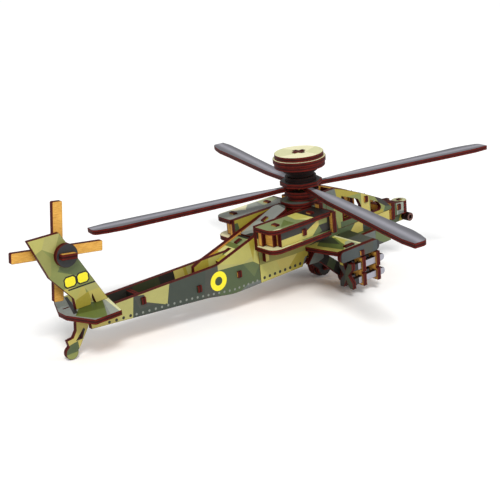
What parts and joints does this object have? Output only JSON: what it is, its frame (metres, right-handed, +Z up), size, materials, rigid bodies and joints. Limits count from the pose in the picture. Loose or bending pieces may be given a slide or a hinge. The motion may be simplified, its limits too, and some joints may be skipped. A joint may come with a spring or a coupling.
{
  "type": "helicopter scale model",
  "caption": "Flat-pack plywood display model of a tandem-seat attack helicopter with turning main rotor, tail rotor and main wheels.",
  "frame": {"origin": "on the floor, under the middle of the bounding box", "axes": "+X towards the nose, +Y to port, +Z up; the fuselage stands nose-up by 5 degrees on its wheels"},
  "size_m": [0.336, 0.2686, 0.0933],
  "materials": {
    "camo_ply": "satin",
    "raw_ply": "matte",
    "blade_ply": "satin",
    "dark_ply": "satin"
  },
  "bodies": {
    "airframe": {"belly_plate": "camo_ply", "body_frames": "raw_ply", "boom_floor": "camo_ply", "boom_frames": "raw_ply", "canopy_frame_port": "camo_ply", "canopy_frame_stbd": "camo_ply", "canopy_roof": "raw_ply", "cockpit_floor": "camo_ply", "cockpit_frames": "raw_ply", "deck_keel": "camo_ply", "fin": "camo_ply", "front_side_panel_port": "camo_ply", "front_side_panel_stbd": "camo_ply", "gear_legs": "camo_ply", "mast_base": "dark_ply", "mast_deck": "camo_ply", "missiles_port": "dark_ply", "missiles_stbd": "dark_ply", "nacelle_bottom_port": "camo_ply", "nacelle_bottom_stbd": "camo_ply", "nacelle_ribs": "raw_ply", "nacelle_top_port": "camo_ply", "nacelle_top_stbd": "camo_ply", "nacelle_walls": "camo_ply", "nose_bulkhead": "camo_ply", "nose_cheeks": "camo_ply", "nose_frames": "camo_ply", "nose_keel": "camo_ply", "pylon_deck": "camo_ply", "rack_frames": "raw_ply", "rack_pylons": "camo_ply", "rear_deck": "camo_ply", "rear_side_panel_port": "camo_ply", "rear_side_panel_stbd": "camo_ply", "sensor_discs": "dark_ply", "sponson_floor": "camo_ply", "sponson_sides": "camo_ply", "sponson_tops": "camo_ply", "stabilizer": "camo_ply", "tail_strut": "camo_ply", "turret_drum": "dark_ply", "wing_end_plates": "camo_ply", "wing_port": "camo_ply", "wing_ribs": "raw_ply", "wing_stbd": "camo_ply"},
    "main_rotor": {"rotor_blade_a": "blade_ply", "rotor_blade_b": "blade_ply", "rotor_blade_c": "blade_ply", "rotor_blade_d": "blade_ply", "hub_plates": "raw_ply", "dome_spindle": "dark_ply", "radar_dome": "camo_ply", "rotor_shaft": "raw_ply"},
    "tail_rotor_body": {"tail_rotor": "raw_ply", "tail_caps": "dark_ply", "tail_key": "raw_ply"},
    "wheel_body_stbd": {"wheel_stbd": "dark_ply", "axle_pin_stbd": "raw_ply"},
    "wheel_body_port": {"wheel_port": "dark_ply", "axle_pin_port": "raw_ply"}
  },
  "joints": [
    {"name": "mast_turn", "type": "hinge", "parent": "airframe", "child": "main_rotor", "pos_m": [0.03389, 0, 0.07099], "axis": [-0.0868, 0, 0.9962], "continuous": true},
    {"name": "tail_rotor_turn", "type": "hinge", "parent": "airframe", "child": "tail_rotor_body", "pos_m": [-0.13988, 0, 0.06088], "axis": [0, 1, 0], "continuous": true},
    {"name": "wheel_turn_stbd", "type": "hinge", "parent": "airframe", "child": "wheel_body_stbd", "pos_m": [0.06325, -0.009, 0.0071], "axis": [0, 1, 0], "continuous": true},
    {"name": "wheel_turn_port", "type": "hinge", "parent": "airframe", "child": "wheel_body_port", "pos_m": [0.06325, 0.009, 0.0071], "axis": [0, 1, 0], "continuous": true}
  ]
}
